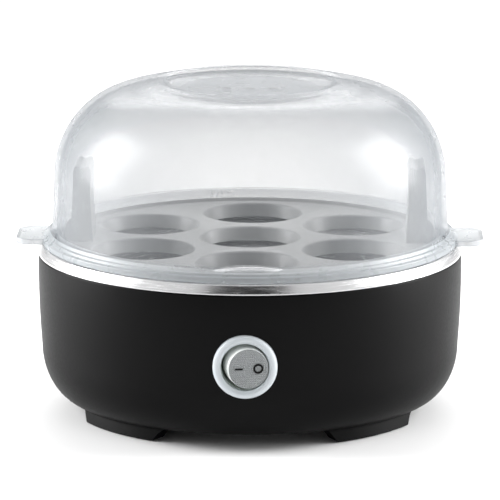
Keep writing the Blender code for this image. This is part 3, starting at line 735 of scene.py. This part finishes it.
def makeRocker(sizes):
    # a shallow cone with a field of small pyramids, on two axle stubs
    face, body, out = sizes["faceR"], sizes["bodyR"], sizes["faceOut"]
    pivot = facePoint(sizes, 0)
    outline = rounded([(0, out - 0.1), (face - 0.3, out - 0.1, 0.05), (face - 0.2, out + 0.15, 0.1),
                       (face, out - 0.1, 0.2), (body, 1.0, 1.5), (body, -1.6, 0.3), (body - 0.6, -2.0, 0.3),
                       (0, -2.0)])
    rocker = turned("rocker", outline, 128, "front", pivot)
    pitch = sizes["dotPitch"] * mm
    count = 2 * int(face / sizes["dotPitch"]) + 1
    field = newFromPrimitive("field", bpy.ops.mesh.primitive_grid_add, x_subdivisions=count,
                             y_subdivisions=count, size=count * pitch,
                             location=facePoint(sizes, out - 0.1), rotation=(math.pi / 2, 0, 0))
    bpy.ops.object.mode_set(mode="EDIT")
    bpy.ops.mesh.select_all(action="SELECT")
    bpy.ops.mesh.poke(offset=sizes["dotHeight"] * mm, use_relative_offset=False)
    bpy.ops.mesh.select_all(action="SELECT")
    bpy.ops.mesh.region_to_loop()
    bpy.ops.mesh.extrude_region_move(TRANSFORM_OT_translate={"value": (0, 0.6 * mm, 0)})
    bpy.ops.mesh.edge_face_add()
    cleanUp()
    applyPlace(field)
    trim = frontCylinder(face - 0.25, facePoint(sizes, out).y, seat.z, depth=0.01, sides=128)
    trim.location.x = seat.x
    combine(field, applyPlace(trim), "INTERSECT")
    combine(rocker, field, "UNION")
    stub = newFromPrimitive("stub", bpy.ops.mesh.primitive_cylinder_add, radius=sizes["stubR"] * mm,
                            depth=sizes["stubLength"] * mm, vertices=24, location=pivot)
    combine(rocker, applyPlace(stub), "UNION")
    boss = frontCylinder(sizes["stubR"], facePoint(sizes, -2).y, seat.z, depth=4 * mm, sides=24)
    combine(rocker, applyPlace(boss), "UNION")
    finishPiece(rocker, "rocker", "rockerPaintedLit", ["switch_rocker"], angle=24)
    rocker.data.materials.append(materials["rockerGrey"])
    # painted light: all but the face wear the pale lit copy, so the sides read as lit; the face keeps the
    # grey plastic
    front = facePoint(sizes, out - 0.3).y
    for face in rocker.data.polygons:
        face.material_index = 1 if face.center.y < front else 0
    return tiltAtPivot(rocker, sizes)


def makeMarks(sizes):
    across, tall = (v * mm for v in sizes["barSize"])
    deep = sizes["faceOut"] - 0.2
    low = facePoint(sizes, sizes["faceOut"] + sizes["markProud"])
    high = facePoint(sizes, deep)
    left = seat.x - sizes["markOffset"] * mm
    bar = block("mark_bar", (left - across / 2, low.y, seat.z - tall / 2),
                (left + across / 2, high.y, seat.z + tall / 2), 0.12 * mm)
    tiltAtPivot(bar, sizes)
    finishPiece(bar, "rocker", "markBlack")
    small, large = sizes["ringR"]
    top = sizes["faceOut"] + sizes["markProud"]
    outline = rounded([(small, deep), (large, deep), (large, top, 0.1), (small, top, 0.1)], closed=True)
    centre = facePoint(sizes, 0) + Vector((sizes["markOffset"] * mm, 0, 0))
    ring = turned("mark_ring", outline, 48, "front", centre, closed=True)
    tiltAtPivot(ring, sizes)
    finishPiece(ring, "rocker", "markBlack")


makeBezel(switch)
makeHousing(switch)
makeRocker(switch)
makeMarks(switch)
print("switch ready")


# cord gland at the back

gland = {"collarR": 7.0, "neckR": 4.2, "tipR": 4.5, "bore": 1.9, "shoulder": 2.2, "ribs": 3}


def makeGland(sizes):
    low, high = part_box("cord_gland")
    start, end = (low.y / mm + glandInside), high.y / mm
    reach = end - start
    bore, neck, collar, tip = sizes["bore"], sizes["neckR"], sizes["collarR"], sizes["tipR"]
    shoulder = sizes["shoulder"]
    outline = [(bore, -glandInside), (neck, -glandInside, 0.5), (neck, 0.3), (collar, 0.3, 0.3),
               (collar, 1.6, 0.6), (5.9, shoulder, 0.4)]
    step = (reach - shoulder) / sizes["ribs"]
    for k in range(sizes["ribs"] - 1):
        at = shoulder + step * k
        outline += [(tip + 0.5, at + step * 0.35, 0.15), (tip + 0.5, at + step * 0.65, 0.15),
                    (tip + 0.9, at + step, 0.2)]
    outline += [(tip, reach, 0.5), (bore, reach, 0.4)]
    # facing "front" runs towards -Y, so the heights are turned round
    outline = [(p[0], -p[1], *p[2:]) for p in outline]
    piece = turned("gland", rounded(outline, closed=True), 72, "front", (0, start * mm, (low.z + high.z) / 2),
                   closed=True)
    return finishPiece(piece, "base", "rubber", ["cord_gland"])


makeGland(gland)


# rubber pads under the feet

def makePads():
    for k in range(1, 5):
        low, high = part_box(f"foot_pad_{k}")
        wide = (high.x - low.x) / 2 / mm
        outline = rounded([(0, low.z / mm), (wide, low.z / mm, 0.5), (wide, high.z / mm), (0, high.z / mm)])
        piece = turned(f"pad_{k}", outline, 48, centre=((low.x + high.x) / 2, (low.y + high.y) / 2, 0))
        finishPiece(piece, "base", "rubber", [f"foot_pad_{k}"])


makePads()


# the pieces that keep the CAD's own mesh

nodeFinish = {
    "black_plastic": "blackInner", "clear_plastic": "clear", "grey_plastic": "trayGrey",
    "pale_plastic": "paleGloss", "steel": "zincSteel", "aluminium": "castAluminium", "brass": "brass",
    "rubber": "rubber", "lamp_glass": "lampGlass", "wire_black": "wireBlack", "wire_white": "wireWhite",
    "wire_blue": "wireBlue",
}


def finishNodes(plan):
    # every CAD node that still shows takes the finish of its slot
    for part in frame["record"]["subparts"]:
        node = nodes.get(part.get("node", part.get("name")))
        if node is not None:
            node.data.materials.clear()
            node.data.materials.append(materials[plan[part["material_slot"]]])


finishNodes(nodeFinish)
print("nodes ready")


# camera, lamps and backdrop

camera = {"target": (0, 0, 0.0612), "elevation": 12.12, "azimuth": 1.3, "distance": 1.519, "lens": 280}


def placeCamera(sizes):
    rise, turn = math.radians(sizes["elevation"]), math.radians(sizes["azimuth"])
    away = Vector((math.sin(turn) * math.cos(rise), -math.cos(turn) * math.cos(rise), math.sin(rise)))
    data = bpy.data.cameras.new("camera")
    data.lens = sizes["lens"]
    data.clip_start, data.clip_end = 0.05, 30
    item = bpy.data.objects.new("camera", data)
    bpy.context.scene.collection.objects.link(item)
    item.location = Vector(sizes["target"]) + away * sizes["distance"]
    item.rotation_euler = (-away).to_track_quat("-Z", "Y").to_euler()
    bpy.context.scene.camera = item


placeCamera(camera)


lamps = {
    "leftTall": {"from": (-1.18, 0.15, 0.53), "to": (0, 0, 0.1), "size": (0.72, 1.0), "watts": 29},
    "rightTall": {"from": (1.18, 0.15, 0.53), "to": (0, 0, 0.1), "size": (0.72, 1.0), "watts": 29},
    "backHigh": {"from": (0, 1.7, 0.95), "to": (0, 0, 0.1), "size": (1.4, 0.5), "watts": 10},
}


def placeLamps(plan):
    for name, sizes in plan.items():
        data = bpy.data.lights.new(name, "AREA")
        data.shape = "RECTANGLE"
        data.size, data.size_y = sizes["size"]
        data.energy = sizes["watts"]
        item = bpy.data.objects.new(name, data)
        bpy.context.scene.collection.objects.link(item)
        item.location = sizes["from"]
        aim = Vector(sizes["to"]) - Vector(sizes["from"])
        item.rotation_euler = aim.to_track_quat("-Z", "Y").to_euler()


placeLamps(lamps)


backdrop = {"floorSize": 8.0, "floorColour": (0.86, 0.86, 0.86), "worldLevel": 0.8, "darkLevel": 0.022,
            "fade": (0.7, 1.3), "darkHalfAngle": (0.36, 0.5), "darkLow": (0.1, 0.22), "darkHigh": (0.75, 0.9)}


def fadeToWhite(tree, shader, span):
    # far from the cooker the camera sees plain white, so no horizon shows; the floor's light is unchanged
    spot = addNode(tree, "ShaderNodeVectorMath", {0: objectPlace(tree)}, operation="LENGTH")
    away = ramp(tree, spot.outputs["Value"], span, 0.0, 1.0, "SMOOTHSTEP")
    seen = addNode(tree, "ShaderNodeLightPath").outputs["Is Camera Ray"]
    white = addNode(tree, "ShaderNodeEmission")
    both = addNode(tree, "ShaderNodeMixShader", {"Fac": maths(tree, "MULTIPLY", away, seen)})
    tree.links.new(shader.outputs["BSDF"], both.inputs[1])
    tree.links.new(white.outputs["Emission"], both.inputs[2])
    tree.links.new(both.outputs["Shader"], tree.nodes["Material Output"].inputs["Surface"])


def worldShade(tree, sizes):
    # bright all round, but dark in front at middle height, which the drum's face reflects
    way = addNode(tree, "ShaderNodeTexCoord").outputs["Generated"]
    split = addNode(tree, "ShaderNodeSeparateXYZ", {"Vector": way})
    x, y, z = (split.outputs[k] for k in "XYZ")
    side = maths(tree, "ABSOLUTE", maths(tree, "ARCTAN2", x, maths(tree, "MULTIPLY", y, -1.0)))
    across = ramp(tree, side, sizes["darkHalfAngle"], 0.0, 1.0, "SMOOTHSTEP")
    low = ramp(tree, z, sizes["darkLow"], 1.0, 0.0, "SMOOTHSTEP")
    high = ramp(tree, z, sizes["darkHigh"], 0.0, 1.0, "SMOOTHSTEP")
    best = maths(tree, "MAXIMUM", maths(tree, "MAXIMUM", across, low), high)
    return ramp(tree, best, (0.0, 1.0), sizes["darkLevel"], sizes["worldLevel"])


def makeWorld(sizes):
    scene = bpy.context.scene
    scene.view_settings.view_transform = "Standard"
    scene.world = bpy.data.worlds.new("studio")
    scene.world.use_nodes = True
    tree = scene.world.node_tree
    seen = addNode(tree, "ShaderNodeLightPath").outputs["Is Camera Ray"]
    background = tree.nodes["Background"]
    tree.links.new(maths(tree, "MAXIMUM", worldShade(tree, sizes), seen), background.inputs["Strength"])
    background.inputs["Color"].default_value = (1, 1, 1, 1)


def makeBackdrop(sizes):
    floor = newFromPrimitive("floor", bpy.ops.mesh.primitive_plane_add, size=sizes["floorSize"],
                             location=(0, 0, 0))
    material, tree, shader = newMaterial("studio_floor")
    cloud = noise(tree, objectPlace(tree), scale=3.0)
    shade = blendColours(tree, spread(tree, cloud, 0, 1), [c * 0.995 for c in sizes["floorColour"]],
                         sizes["floorColour"])
    tree.links.new(shade, shader.inputs["Base Color"])
    setShader(shader, Roughness=0.6, Specular_IOR_Level=0.2)
    fadeToWhite(tree, shader, sizes["fade"])
    floor.data.materials.append(material)
    makeWorld(sizes)


makeBackdrop(backdrop)
print("stage ready")
